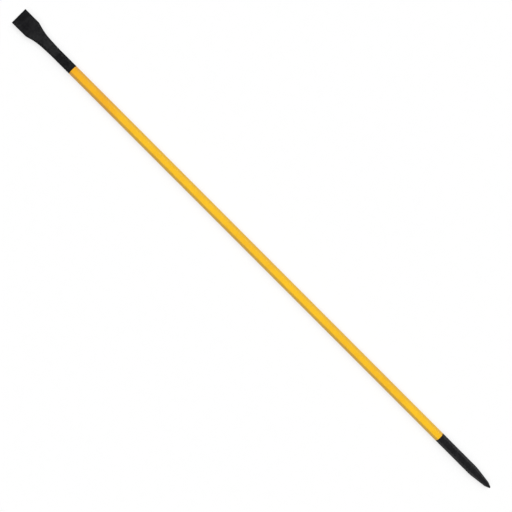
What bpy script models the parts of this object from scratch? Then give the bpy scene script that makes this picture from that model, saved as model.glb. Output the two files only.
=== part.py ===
"""Demolition bar: a hexagonal steel bar with a flat chisel blade at one end and a pencil point at the other.

The bar lies along X on one of its flats, with the cutting edge at the -X end and the point at the +X end.
Its two forged ends are butt-welded to the shaft in V-grooves, each round a dowel that keeps the bars in line.
"""
import math

import bmesh
import bpy
from mathutils import Matrix

# Bar stock
ACROSS_FLATS = 0.0254
CORNER_RADIUS = 0.0020
CORNER_STEPS = 3

# Lengths along the bar: each black end as far as the yellow shaft, and the shaft between them
CHISEL_END_LENGTH = 0.2032
SHAFT_LENGTH = 1.4224
POINT_END_LENGTH = 0.2032

# Chisel blade from the cutting edge to its shoulders: a wedge with parallel sides and a small bevel at the edge
BLADE_WIDTH = 0.0524
BLADE_LENGTH = 0.0512
SHOULDER_THICKNESS = 0.0094
BLADE_LEAN = math.radians(10)
BLADE_CORNER_RADIUS = 0.0016
BLADE_CORNER_STEPS = 4
EDGE_BEVEL_LENGTH = 0.0060
EDGE_BEVEL_THICKNESS = 0.0042
EDGE_THICKNESS = 0.0016

# Flare from the shoulders to the bar. In plan it is a steep taper, a bend and a gentle taper to the bar's corners
FLARE_LENGTH = 0.0858
FLARE_STEPS = 18
BEND_DISTANCE = 0.0357
BEND_LENGTH = 0.0326
NECK_TAPER = math.radians(3.2)
FACE_NARROWING = 2.7
LARGEST_ROUNDING = 0.6

# Pencil point: its taper, eased in from the bar, and the steeper bevel down to the blunt end
POINT_TAPER_LENGTH = 0.0660
POINT_EASE_LENGTH = 0.0200
POINT_EASE_STEPS = 6
POINT_BEVEL_LENGTH = 0.0140
POINT_BEVEL_ACROSS = 0.0135
POINT_END_ACROSS = 0.0039

# Welded joint: a V-groove round a nose on each bar, and a dowel in two blind holes
NOSE_ACROSS = 0.0140
GROOVE_ANGLE = math.radians(30)
DOWEL_DIAMETER = 0.0079
DOWEL_LENGTH = 0.0381
DOWEL_CHAMFER = 0.0008
DOWEL_SIDES = 32
CLEARANCE = 0.0003

# Colours of the two enamels and of the bare steel inside, as linear values
BLACK_ENAMEL = (0.010, 0.010, 0.011, 1.0)
YELLOW_ENAMEL = (0.93, 0.52, 0.015, 1.0)
BARE_STEEL = (0.55, 0.56, 0.58, 1.0)

# What follows from the bar stock and the lengths
HEX_SIDES = 6
HEX_LEAN = math.pi / HEX_SIDES
HALF_HEIGHT = ACROSS_FLATS / 2
HALF_SIDE = HALF_HEIGHT / math.cos(HEX_LEAN)
HALF_FLAT = HALF_SIDE / 2
TOTAL_LENGTH = CHISEL_END_LENGTH + SHAFT_LENGTH + POINT_END_LENGTH
EDGE_X = -TOTAL_LENGTH / 2
POINT_X = TOTAL_LENGTH / 2
SHAFT_START_X = EDGE_X + CHISEL_END_LENGTH
SHAFT_END_X = POINT_X - POINT_END_LENGTH
NOSE_LENGTH = (ACROSS_FLATS - NOSE_ACROSS) / 2 * math.tan(GROOVE_ANGLE)
CHISEL_JOINT_X = SHAFT_START_X - NOSE_LENGTH - CLEARANCE / 2
POINT_JOINT_X = SHAFT_END_X + NOSE_LENGTH + CLEARANCE / 2


def clear_scene():
    """Remove every object that the open file holds."""
    for obj in list(bpy.data.objects):
        bpy.data.objects.remove(obj, do_unlink=True)


def new_collection(name):
    collection = bpy.data.collections.new(name)
    bpy.context.scene.collection.children.link(collection)
    return collection


def give_material(obj, finish, colour, roughness, metallic):
    """Give a sub-part its own Principled material."""
    material = bpy.data.materials.new(obj.name + "_" + finish)
    material.use_nodes = True
    material.diffuse_color = colour
    shader = material.node_tree.nodes["Principled BSDF"]
    shader.inputs["Base Color"].default_value = colour
    shader.inputs["Roughness"].default_value = roughness
    shader.inputs["Metallic"].default_value = metallic
    obj.data.materials.append(material)


def paint_black(obj):
    give_material(obj, "black_enamel", BLACK_ENAMEL, roughness=0.42, metallic=0.0)


def paint_yellow(obj):
    give_material(obj, "yellow_enamel", YELLOW_ENAMEL, roughness=0.38, metallic=0.0)


def leave_bare(obj):
    give_material(obj, "bare_steel", BARE_STEEL, roughness=0.3, metallic=1.0)


def add_object(name, bm, collection):
    """Make an object of a finished bmesh, with smooth faces and sharp edges."""
    bmesh.ops.recalc_face_normals(bm, faces=bm.faces[:])
    mesh = bpy.data.meshes.new(name)
    bm.to_mesh(mesh)
    bm.free()
    mesh.shade_smooth()
    mesh.set_sharp_from_angle(angle=math.radians(25))
    obj = bpy.data.objects.new(name, mesh)
    collection.objects.link(obj)
    return obj


def cut(obj, cutter):
    """Take a cutter's shape out of an object."""
    cutter.hide_render = True
    cutter.display_type = "WIRE"
    boolean = obj.modifiers.new(cutter.name, "BOOLEAN")
    boolean.operation = "DIFFERENCE"
    boolean.solver = "EXACT"
    boolean.object = cutter


def hexagonal_bar(name, stations, collection):
    """A bar along X with a flat on top, through stations of (x, size across flats).

    A hexagon stands at the first station. Its rim is extruded to each next station and scaled there.
    """
    x, across = stations[0]
    upright = Matrix.Translation((x, 0, HALF_HEIGHT)) @ Matrix.Rotation(math.pi / 2, 4, "Y")
    from_centre_line = Matrix.Translation((0, 0, -HALF_HEIGHT))
    bm = bmesh.new()
    bmesh.ops.create_circle(
        bm, cap_ends=True, segments=HEX_SIDES, radius=across / 2 / math.cos(HEX_LEAN), matrix=upright)
    rim = bm.edges[:]
    for next_x, next_across in stations[1:]:
        made = bmesh.ops.extrude_edge_only(bm, edges=rim)["geom"]
        ring = [item for item in made if isinstance(item, bmesh.types.BMVert)]
        rim = [item for item in made if isinstance(item, bmesh.types.BMEdge)]
        growth = next_across / across
        bmesh.ops.scale(bm, vec=(1, growth, growth), space=from_centre_line, verts=ring)
        bmesh.ops.translate(bm, vec=(next_x - x, 0, 0), verts=ring)
        x = next_x
        across = next_across
    bmesh.ops.edgeloop_fill(bm, edges=rim)
    return add_object(name, bm, collection)


def round_corners(obj):
    """Round the long corners of a bar by a share of the hexagon's side, so that the rounding tapers with it."""
    weights = obj.data.attributes.new("bevel_weight_edge", "FLOAT", "EDGE")
    for edge in obj.data.edges:
        start, end = (obj.data.vertices[index].co for index in edge.vertices)
        runs_along = abs(end.x - start.x) > abs(end.y - start.y) + abs(end.z - start.z)
        weights.data[edge.index].value = 1.0 if runs_along else 0.0
    bevel = obj.modifiers.new("rounded_corners", "BEVEL")
    bevel.limit_method = "WEIGHT"
    bevel.offset_type = "PERCENT"
    bevel.width_pct = 100 * CORNER_RADIUS * math.tan(HEX_LEAN) / HALF_SIDE
    bevel.segments = CORNER_STEPS


def rounded_section(half_side, half_height, lean, radius):
    """The outline of a six-cornered section as (y, z) points, each corner an arc.

    Two corners are at the sides at mid height. The side faces lean inwards from there to the level flats.
    A corner's arc turns from the direction that one face looks to the direction of the next.
    """
    half_flat = half_side - half_height * math.tan(lean)
    up = math.pi / 2
    left = math.pi
    down = math.pi * 3 / 2
    right = math.pi * 2
    corners = [
        (half_side, 0, -lean, lean),
        (half_flat, half_height, lean, up),
        (-half_flat, half_height, up, left - lean),
        (-half_side, 0, left - lean, left + lean),
        (-half_flat, -half_height, left + lean, down),
        (half_flat, -half_height, down, right - lean),
    ]
    outline = []
    for y, z, first, last in corners:
        middle = (first + last) / 2
        set_back = radius / math.cos((last - first) / 2)
        for step in range(CORNER_STEPS + 1):
            angle = first + (last - first) * step / CORNER_STEPS
            outline.append((
                y - set_back * math.cos(middle) + radius * math.cos(angle),
                z - set_back * math.sin(middle) + radius * math.sin(angle),
            ))
    return outline


def loft(name, sections, collection):
    """A closed body through sections of (x, outline) that have the same number of points."""
    bm = bmesh.new()
    rings = []
    for x, outline in sections:
        rings.append([bm.verts.new((x, y, HALF_HEIGHT + z)) for y, z in outline])
    for ring, next_ring in zip(rings, rings[1:]):
        for index in range(len(ring)):
            bm.faces.new((ring[index - 1], ring[index], next_ring[index], next_ring[index - 1]))
    bm.faces.new(rings[0])
    bm.faces.new(rings[-1])
    return add_object(name, bm, collection)


def blade_thickness(distance):
    """Thickness of the chisel head at a distance from its cutting edge.

    It grows at an even rate up the edge bevel and at a slower one to the shoulders. From there a parabola, which
    starts at the blade's slope, sweeps up to the bar and meets the bar's flat at an angle.
    """
    if distance < EDGE_BEVEL_LENGTH:
        share = distance / EDGE_BEVEL_LENGTH
        return EDGE_THICKNESS + (EDGE_BEVEL_THICKNESS - EDGE_THICKNESS) * share
    slope = (SHOULDER_THICKNESS - EDGE_BEVEL_THICKNESS) / (BLADE_LENGTH - EDGE_BEVEL_LENGTH)
    past_shoulder = min(distance - BLADE_LENGTH, FLARE_LENGTH)
    wedge = SHOULDER_THICKNESS + slope * past_shoulder
    if distance < BLADE_LENGTH:
        return wedge
    sweep = ACROSS_FLATS - SHOULDER_THICKNESS - slope * FLARE_LENGTH
    return wedge + sweep * (past_shoulder / FLARE_LENGTH)**2


def blade_half_width(distance):
    """Half the width of the chisel head at a distance from its cutting edge.

    The blade's sides are parallel, with rounded corners at the edge. In the flare the half width falls along a
    steep straight taper, an arc of a parabola, and a gentle straight taper that ends at the bar's corners.
    """
    past_shoulder = min(max(distance - BLADE_LENGTH, 0), FLARE_LENGTH)
    gentle = math.tan(NECK_TAPER)
    at_bend = HALF_SIDE + gentle * (FLARE_LENGTH - BEND_DISTANCE)
    steep = (BLADE_WIDTH / 2 - at_bend) / BEND_DISTANCE
    into_bend = min(max(past_shoulder - BEND_DISTANCE + BEND_LENGTH / 2, 0), BEND_LENGTH)
    past_bend = max(past_shoulder - BEND_DISTANCE - BEND_LENGTH / 2, 0)
    eased = (steep - gentle) * (into_bend**2 / BEND_LENGTH / 2 + past_bend)
    to_corner = max(BLADE_CORNER_RADIUS - distance, 0)
    corner = BLADE_CORNER_RADIUS - math.sqrt(BLADE_CORNER_RADIUS**2 - to_corner**2)
    return BLADE_WIDTH / 2 - steep * past_shoulder + eased - corner


def side_lean(distance):
    """Lean of the chisel head's side faces at a distance from its cutting edge.

    In the flare the broad faces narrow faster than the outline, from the blade's width to that of the bar's flat,
    and the side faces between them and the outline turn with them.
    """
    if distance < BLADE_LENGTH:
        return BLADE_LEAN
    shoulder_face = BLADE_WIDTH / 2 - SHOULDER_THICKNESS / 2 * math.tan(BLADE_LEAN)
    share = min((distance - BLADE_LENGTH) / FLARE_LENGTH, 1)
    half_face = HALF_FLAT + (shoulder_face - HALF_FLAT) * (1 - share)**FACE_NARROWING
    return math.atan2(blade_half_width(distance) - half_face, blade_thickness(distance) / 2)


def chisel_section(distance):
    """Outline of the chisel head at a distance from its cutting edge."""
    half_height = blade_thickness(distance) / 2
    radius = min(CORNER_RADIUS, LARGEST_ROUNDING * half_height)
    return rounded_section(blade_half_width(distance), half_height, side_lean(distance), radius)


def make_chisel_head(collection):
    """The blade, flare and neck, a loft from the thin cutting edge to the hexagonal bar and its welding nose."""
    distances = []
    for step in range(BLADE_CORNER_STEPS + 1):
        angle = math.pi / 2 * step / BLADE_CORNER_STEPS
        distances.append(BLADE_CORNER_RADIUS * (1 - math.cos(angle)))
    distances.append(EDGE_BEVEL_LENGTH)
    for step in range(FLARE_STEPS + 1):
        distances.append(BLADE_LENGTH + FLARE_LENGTH * step / FLARE_STEPS)
    sections = [(EDGE_X + distance, chisel_section(distance)) for distance in distances]
    nose_x = CHISEL_JOINT_X - CLEARANCE / 2
    nose_share = NOSE_ACROSS / ACROSS_FLATS
    sections.append((nose_x - NOSE_LENGTH, rounded_section(HALF_SIDE, HALF_HEIGHT, HEX_LEAN, CORNER_RADIUS)))
    sections.append((nose_x, rounded_section(
        HALF_SIDE * nose_share, HALF_HEIGHT * nose_share, HEX_LEAN, CORNER_RADIUS * nose_share)))
    head = loft("chisel_head", sections, collection)
    paint_black(head)
    return head


def make_shaft(collection):
    """The yellow bar between the two black ends, with a welding nose at each end."""
    shaft = hexagonal_bar("shaft", [
        (SHAFT_START_X - NOSE_LENGTH, NOSE_ACROSS),
        (SHAFT_START_X, ACROSS_FLATS),
        (SHAFT_END_X, ACROSS_FLATS),
        (SHAFT_END_X + NOSE_LENGTH, NOSE_ACROSS),
    ], collection)
    round_corners(shaft)
    paint_yellow(shaft)
    return shaft


def make_point_head(collection):
    """The neck and the six-sided point. Its taper starts along a short parabola and ends in a steeper bevel."""
    nose_x = POINT_JOINT_X + CLEARANCE / 2
    taper_x = POINT_X - POINT_TAPER_LENGTH
    slope = (ACROSS_FLATS - POINT_BEVEL_ACROSS) / (POINT_TAPER_LENGTH - POINT_BEVEL_LENGTH)
    stations = [(nose_x, NOSE_ACROSS), (nose_x + NOSE_LENGTH, ACROSS_FLATS)]
    for step in range(POINT_EASE_STEPS + 1):
        into_ease = POINT_EASE_LENGTH * step / POINT_EASE_STEPS
        drop = slope * into_ease**2 / POINT_EASE_LENGTH / 2
        stations.append((taper_x - POINT_EASE_LENGTH / 2 + into_ease, ACROSS_FLATS - drop))
    stations.append((POINT_X - POINT_BEVEL_LENGTH, POINT_BEVEL_ACROSS))
    stations.append((POINT_X, POINT_END_ACROSS))
    head = hexagonal_bar("point_head", stations, collection)
    round_corners(head)
    paint_black(head)
    return head


def make_weld(name, joint_x, collection, cutters):
    """Weld metal that fills the V-groove round a joint, ground flush with the bar.

    A slice of the bar loses the shape of both noses, made larger by the clearance.
    """
    set_back = CLEARANCE / math.cos(GROOVE_ANGLE) - CLEARANCE / 2
    waist = NOSE_ACROSS + 2 * set_back / math.tan(GROOVE_ANGLE)
    reach = 2 * NOSE_LENGTH
    across_at_reach = waist + 2 * reach / math.tan(GROOVE_ANGLE)
    noses = hexagonal_bar(name + "_noses", [
        (joint_x - reach, across_at_reach),
        (joint_x, waist),
        (joint_x + reach, across_at_reach),
    ], cutters)
    half_slice = NOSE_LENGTH + CLEARANCE
    weld = hexagonal_bar(name, [
        (joint_x - half_slice, ACROSS_FLATS),
        (joint_x + half_slice, ACROSS_FLATS),
    ], collection)
    round_corners(weld)
    cut(weld, noses)
    paint_black(weld)
    return weld


def cylinder_along_x(name, centre_x, length, diameter, collection):
    place = Matrix.Translation((centre_x, 0, HALF_HEIGHT)) @ Matrix.Rotation(math.pi / 2, 4, "Y")
    bm = bmesh.new()
    bmesh.ops.create_cone(
        bm, cap_ends=True, segments=DOWEL_SIDES, radius1=diameter / 2, radius2=diameter / 2, depth=length,
        matrix=place)
    return add_object(name, bm, collection)


def make_dowel(name, joint_x, collection):
    """A straight dowel pin with chamfered ends, half of it in each bar."""
    dowel = cylinder_along_x(name, joint_x, DOWEL_LENGTH, DOWEL_DIAMETER, collection)
    chamfer = dowel.modifiers.new("chamfered_ends", "BEVEL")
    chamfer.limit_method = "ANGLE"
    chamfer.angle_limit = math.radians(60)
    chamfer.width = DOWEL_CHAMFER
    chamfer.segments = 1
    leave_bare(dowel)
    return dowel


def drill_for_dowel(name, joint_x, bars, cutters):
    """Drill the blind hole of a dowel, with its clearance, into the bars on both sides of a joint."""
    hole = cylinder_along_x(
        name, joint_x, DOWEL_LENGTH + 2 * CLEARANCE, DOWEL_DIAMETER + 2 * CLEARANCE, cutters)
    for bar in bars:
        cut(bar, hole)


def main():
    clear_scene()
    bar = new_collection("demolition_bar")
    cutters = new_collection("cutters")
    chisel_head = make_chisel_head(bar)
    shaft = make_shaft(bar)
    point_head = make_point_head(bar)
    make_weld("chisel_weld", CHISEL_JOINT_X, bar, cutters)
    make_weld("point_weld", POINT_JOINT_X, bar, cutters)
    make_dowel("chisel_dowel", CHISEL_JOINT_X, bar)
    make_dowel("point_dowel", POINT_JOINT_X, bar)
    drill_for_dowel("chisel_dowel_hole", CHISEL_JOINT_X, [chisel_head, shaft], cutters)
    drill_for_dowel("point_dowel_hole", POINT_JOINT_X, [shaft, point_head], cutters)


main()
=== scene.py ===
"""Looks of a demolition bar: black chisel and point ends, a yellow hexagonal shaft and a pale studio.

The file is laid out as a Blender add-on, with an operator for each piece or pair of like pieces and one
for the studio. New pieces are surfaces worked out with numpy round the bar's axis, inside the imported
frame. Lengths are in metres.
"""
import math

import bpy
import numpy as np
from bpy.props import FloatProperty, FloatVectorProperty, PointerProperty
from bpy.types import Operator, Panel, PropertyGroup
from mathutils import Matrix, Vector


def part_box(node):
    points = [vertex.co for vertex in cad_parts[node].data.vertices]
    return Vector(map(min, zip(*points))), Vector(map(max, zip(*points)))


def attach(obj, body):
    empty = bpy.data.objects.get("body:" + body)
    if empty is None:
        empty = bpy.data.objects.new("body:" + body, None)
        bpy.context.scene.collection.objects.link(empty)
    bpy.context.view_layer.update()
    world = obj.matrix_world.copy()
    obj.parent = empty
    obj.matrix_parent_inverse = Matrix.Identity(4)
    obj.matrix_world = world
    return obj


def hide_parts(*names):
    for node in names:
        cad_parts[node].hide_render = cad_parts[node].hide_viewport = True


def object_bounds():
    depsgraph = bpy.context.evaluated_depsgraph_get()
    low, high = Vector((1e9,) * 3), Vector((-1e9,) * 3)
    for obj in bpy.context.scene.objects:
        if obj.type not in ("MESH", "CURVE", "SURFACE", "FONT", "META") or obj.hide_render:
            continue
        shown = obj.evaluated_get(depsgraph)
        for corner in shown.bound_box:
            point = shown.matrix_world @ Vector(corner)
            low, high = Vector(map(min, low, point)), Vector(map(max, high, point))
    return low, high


bl_info = {
    "name": "Demolition bar",
    "version": (1, 0, 0),
    "blender": (4, 5, 0),
    "location": "View3D > Sidebar > Demolition bar",
    "description": "Finished surfaces, enamels and studio for a hexagonal chisel and point bar",
    "category": "Add Mesh",
}

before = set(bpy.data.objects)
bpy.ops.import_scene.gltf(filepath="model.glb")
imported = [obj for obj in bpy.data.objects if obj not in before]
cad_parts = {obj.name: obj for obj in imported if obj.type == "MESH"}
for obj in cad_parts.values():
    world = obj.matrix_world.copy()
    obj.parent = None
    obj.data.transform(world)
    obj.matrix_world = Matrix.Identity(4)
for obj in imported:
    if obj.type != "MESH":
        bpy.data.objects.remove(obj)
CAD_LOW, CAD_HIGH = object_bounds()

# Places that the frame gives
CHISEL_LOW, CHISEL_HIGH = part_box("chisel_head")
SHAFT_LOW, SHAFT_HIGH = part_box("shaft")
_, POINT_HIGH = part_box("point_head")
DOWEL_LOW, DOWEL_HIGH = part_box("chisel_dowel")
ACROSS_FLATS = SHAFT_HIGH.z - SHAFT_LOW.z
HALF_HEIGHT = ACROSS_FLATS / 2
AXIS_Z = SHAFT_LOW.z + HALF_HEIGHT
EDGE_X = CHISEL_LOW.x
TIP_X = POINT_HIGH.x
BLADE_WIDTH = CHISEL_HIGH.y - CHISEL_LOW.y
DOWEL_DIAMETER = DOWEL_HIGH.z - DOWEL_LOW.z
DOWEL_LENGTH = DOWEL_HIGH.x - DOWEL_LOW.x

# The regular hexagon: each slanted face looks 30 degrees above or below the level
HEX_LEAN = math.pi / 6
HALF_SIDE = HALF_HEIGHT / math.cos(HEX_LEAN)
HALF_FLAT = HALF_SIDE / 2

# How finely the surfaces are divided
CORNER_POINTS = 9
FACE_POINTS = 7
BROAD_POINTS = 25
FLOOR_POINTS = 3
BLADE_SPACING = 0.0010
NECK_SPACING = 0.0020
SHAFT_SPACING = 0.0040
ROUNDING_ROWS = 12
WELD_ROWS = 17
NO_TRIANGLES = np.empty((0, 3), int)

# The largest radius of a long corner, as a share of half the thickness there
LARGEST_ROUNDING = 0.6
# The power by which the corner attribute fades across a face
CORNER_FADE = 8
# Edges that turn by more than this are shaded sharp
SHARP_ANGLE = math.radians(25)

# Unevenness of the steel: plane waves in seeded directions, their lengths shares of the one asked for
WAVE_COUNT = 10
SHORTEST_WAVE = 0.7
LONGEST_WAVE = 1.6
FORGING_SEED = 11
ROLLING_SEED = 23

# Patterns of the finishes, in features to the metre
BLACK_CLOUDS = 44.0
BLACK_SCALE = 150.0
BLACK_PITS = 260.0
BLACK_PEEL = 900.0
YELLOW_CLOUDS = 14.0
YELLOW_PEEL = 520.0
YELLOW_NIBS = 60.0
ROLLING_LINES = 420.0
STEEL_PATCHES = 160.0
GRINDING_LINES = 5200.0
PAPER_GRAIN = 40.0

# How far a pit and a nib reach, as a share of their cells
PIT_REACH = 0.26
NIB_REACH = 0.04

# Shares to which places are squeezed along X, Y and Z, so that a pattern's lines run along or round the bar
ROLLING_SQUEEZE = (0.03, 1.0, 1.0)
GRINDING_SQUEEZE = (1.0, 0.04, 0.04)

# Spans of a noise: where nearly all its values lie, and over which the black's tone, pits, sheen and
# rubbed corners change
NOISE_SPAN = (0.3, 0.7)
TONE_SPAN = (0.35, 0.62)
PIT_SPAN = (0.45, 0.58)
SHEEN_SPAN = (0.35, 0.65)
RUBBED_SPAN = (0.48, 0.64)

# Roughness of the finishes, from their smoothest patches to their dullest
BLACK_SHEEN = (0.36, 0.52)
YELLOW_SHEEN = (0.24, 0.34)
STEEL_SHEEN = (0.24, 0.32)

# What finer layers add to the roughness
FLECK_SHEEN = (-0.07, 0.07)
PIT_SHEEN = 0.12
PEEL_SHEEN = (-0.04, 0.04)
GRINDING_SHEEN = (0.0, 0.08)

# Shares of the way to thin enamel: black on rubbed corners, yellow along the shaft, and at the flare's end
# a painted sheen on the black, lighter as if the sloping face caught more light
FLARE_PAINTED_SHEEN = 0.55
CORNER_THINNING = 0.55
SHAFT_THINNING = 0.55

# What the layers add to that share, or in steel to the share of the way from its dark tone to its light one
BLACK_CLOUD_TONE = (0.12, 0.39)
FLECK_TONE = (-0.17, 0.20)
YELLOW_CLOUD_TONE = (0.0, 0.35)
PEEL_TONE = (-0.06, 0.06)
YELLOW_CORNER_TONE = 0.06
PATCH_TONE = (0.0, 0.6)
GRINDING_TONE = (0.0, 0.4)

# Where on the way to thin enamel the usual tones lie
USUAL_BLACK = 0.32
USUAL_YELLOW = 0.75

# Tones at the ends of those ways, as factors of the usual ones
THICK_BLACK = 0.72
THIN_YELLOW = 1.04
DARK_STEEL = 0.82
LIGHT_STEEL = 1.1

# Tone of the floor's paper, from its darkest grains to its palest
PAPER_TONE = (0.98, 1.0)

# Depths of the finishes' relief
CLOUD_DEPTH = 0.0007
SCALE_DEPTH = 0.00022
PIT_DEPTH = 0.00012
BLACK_PEEL_DEPTH = 0.00004
YELLOW_PEEL_DEPTH = 0.00008
NIB_HEIGHT = 0.0001
ROLLING_LINE_DEPTH = 0.00008
GRINDING_DEPTH = 0.000004

# The photograph's camera: its focal length in pixels of the picture, its sensor in millimetres
PICTURE_PIXELS = 512
FOCAL_PIXELS = 1532.53
CAMERA_PLACE = Vector((-0.3353, 0.0, 4.18827))
CAMERA_AIM = Vector((-0.00423, -0.00503, 0.0127))
PICTURE_UP = Vector((-0.7052, 0.70673, -0.05676))
SENSOR_WIDTH = 36.0

# The studio: the gap under the bar, and where the lamps stand, which are as bright from any distance
FLOOR_GAP = 0.0002
LAMP_DISTANCE = 3.0
WHITE = (1.0, 1.0, 1.0, 1.0)


class StockSettings(PropertyGroup):
    """The hexagonal bar stock and the lengths of its black ends"""

    corner_radius: FloatProperty(
        name="Corner radius", description="Radius of the bar's long corners", default=0.0020,
        unit="LENGTH")
    chisel_end: FloatProperty(
        name="Chisel end", description="Black length from the cutting edge", default=0.2032, unit="LENGTH")
    point_end: FloatProperty(
        name="Point end", description="Black length from the point", default=0.2032, unit="LENGTH")
    film_step: FloatProperty(
        name="Film step", description="How far the black enamel stands above the yellow", default=0.00006,
        unit="LENGTH", precision=5)
    rolling_depth: FloatProperty(
        name="Rolling depth", description="Depth of the soft hollows in the rolled flats", default=0.00005,
        unit="LENGTH", precision=5)
    rolling_length: FloatProperty(
        name="Rolling length", description="Length of the hollows in the rolled flats", default=0.090,
        unit="LENGTH")


class ChiselSettings(PropertyGroup):
    """The flat blade, and the flare that joins it to the bar"""

    blade_length: FloatProperty(
        name="Blade length", description="From the cutting edge to the shoulders", default=0.0512,
        unit="LENGTH")
    shoulder_thickness: FloatProperty(
        name="Shoulder thickness", description="Blade thickness at the shoulders", default=0.0094,
        unit="LENGTH")
    side_lean: FloatProperty(
        name="Side lean", description="Lean of the blade's side faces", default=math.radians(10),
        subtype="ANGLE")
    corner_radius: FloatProperty(
        name="Blade corner radius", description="Radius of the blade's two corners in plan",
        default=0.0016, unit="LENGTH")
    bevel_length: FloatProperty(
        name="Bevel length", description="Length of the bevel at the cutting edge", default=0.0060,
        unit="LENGTH")
    bevel_thickness: FloatProperty(
        name="Bevel thickness", description="Blade thickness where the bevel starts", default=0.0042,
        unit="LENGTH")
    edge_thickness: FloatProperty(
        name="Edge thickness", description="Thickness of the blunt cutting edge", default=0.0016,
        unit="LENGTH")
    edge_rounding: FloatProperty(
        name="Edge rounding", description="Radius along the rim of the cutting edge", default=0.0005,
        unit="LENGTH")
    flare_length: FloatProperty(
        name="Flare length", description="From the shoulders to the plain bar", default=0.0858,
        unit="LENGTH")
    bend_distance: FloatProperty(
        name="Bend distance", description="From the shoulders to the bend in the flare's outline",
        default=0.0357, unit="LENGTH")
    bend_length: FloatProperty(
        name="Bend length", description="Length of the curve at the bend", default=0.0326, unit="LENGTH")
    neck_taper: FloatProperty(
        name="Neck taper", description="Angle of each side between the bend and the bar",
        default=math.radians(3.2), subtype="ANGLE")
    face_narrowing: FloatProperty(
        name="Face narrowing", description="Power by which the broad faces narrow along the flare",
        default=2.7, min=1)
    softening: FloatProperty(
        name="Softening", description="How far the forged kinks are rounded", default=0.00015,
        unit="LENGTH", precision=5)
    forging_depth: FloatProperty(
        name="Forging depth", description="Depth of the soft hollows in the blade and flare",
        default=0.00022, unit="LENGTH", precision=5)
    forging_length: FloatProperty(
        name="Forging length", description="Length of the hollows in the forged surface", default=0.026,
        unit="LENGTH")


class PointSettings(PropertyGroup):
    """The six-sided pencil point"""

    taper_length: FloatProperty(
        name="Taper length", description="From where the taper starts to the tip", default=0.0660,
        unit="LENGTH")
    ease_length: FloatProperty(
        name="Ease length", description="Length of the curve that leads into the taper", default=0.0200,
        unit="LENGTH")
    bevel_length: FloatProperty(
        name="Bevel length", description="Length of the steeper bevel at the tip", default=0.0140,
        unit="LENGTH")
    bevel_across: FloatProperty(
        name="Bevel width", description="Size across flats where the bevel starts", default=0.0135,
        unit="LENGTH")
    end_across: FloatProperty(
        name="End width", description="Size across flats of the blunt tip", default=0.0039, unit="LENGTH")
    tip_rounding: FloatProperty(
        name="Tip rounding", description="Radius round the blunt tip", default=0.0012, unit="LENGTH")
    softening: FloatProperty(
        name="Softening", description="How far the kink above the bevel is rounded", default=0.00012,
        unit="LENGTH", precision=5)


class JointSettings(PropertyGroup):
    """The welded and dowelled joints inside the bar"""

    nose_across: FloatProperty(
        name="Nose width", description="Size across flats of the nose in the groove", default=0.0140,
        unit="LENGTH")
    groove_angle: FloatProperty(
        name="Groove angle", description="Angle of each side of the weld groove", default=math.radians(30),
        subtype="ANGLE")
    clearance: FloatProperty(
        name="Clearance", description="Gap round a dowel and between the noses", default=0.0003,
        unit="LENGTH", precision=4)


class EnamelSettings(PropertyGroup):
    """Colours of the two enamels and the bare steel, as linear values, and the enamels' gloss"""

    black: FloatVectorProperty(
        name="Black enamel", description="Usual tone of the black ends", default=(0.0105, 0.0105, 0.0116),
        size=3, min=0, max=1, subtype="COLOR")
    # The far tone of the black ramp: thin or rubbed enamel, and also the painted sheen on the flare
    black_worn: FloatVectorProperty(
        name="Thin black enamel", description="Black enamel where it is thin or rubbed",
        default=(0.026, 0.026, 0.027), size=3, min=0, max=1, subtype="COLOR")
    yellow: FloatVectorProperty(
        name="Yellow enamel", description="Usual tone of the shaft", default=(0.93, 0.53, 0.013), size=3,
        min=0, max=1, subtype="COLOR")
    yellow_deep: FloatVectorProperty(
        name="Deep yellow enamel", description="Thicker enamel, towards the chisel",
        default=(0.865, 0.365, 0.009), size=3, min=0, max=1, subtype="COLOR")
    deep_length: FloatProperty(
        name="Deep yellow length", description="How far along the shaft the deeper yellow fades out",
        default=0.26, unit="LENGTH")
    # Painted shade: the chisel end's copy of the enamel glosses less than the point end's, as if its
    # surroundings were darker
    chisel_gloss: FloatProperty(
        name="Chisel gloss", description="Specular level of the black enamel on the chisel end",
        default=0.015, min=0, max=1, subtype="FACTOR")
    point_gloss: FloatProperty(
        name="Point gloss", description="Specular level of the black enamel on the point end",
        default=0.08, min=0, max=1, subtype="FACTOR")
    yellow_gloss: FloatProperty(
        name="Yellow gloss", description="Specular level of the yellow enamel", default=0.33, min=0, max=1,
        subtype="FACTOR")
    steel: FloatVectorProperty(
        name="Bare steel", description="Ground steel of the dowels and grooves",
        default=(0.55, 0.56, 0.58), size=3, min=0, max=1, subtype="COLOR")


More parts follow.
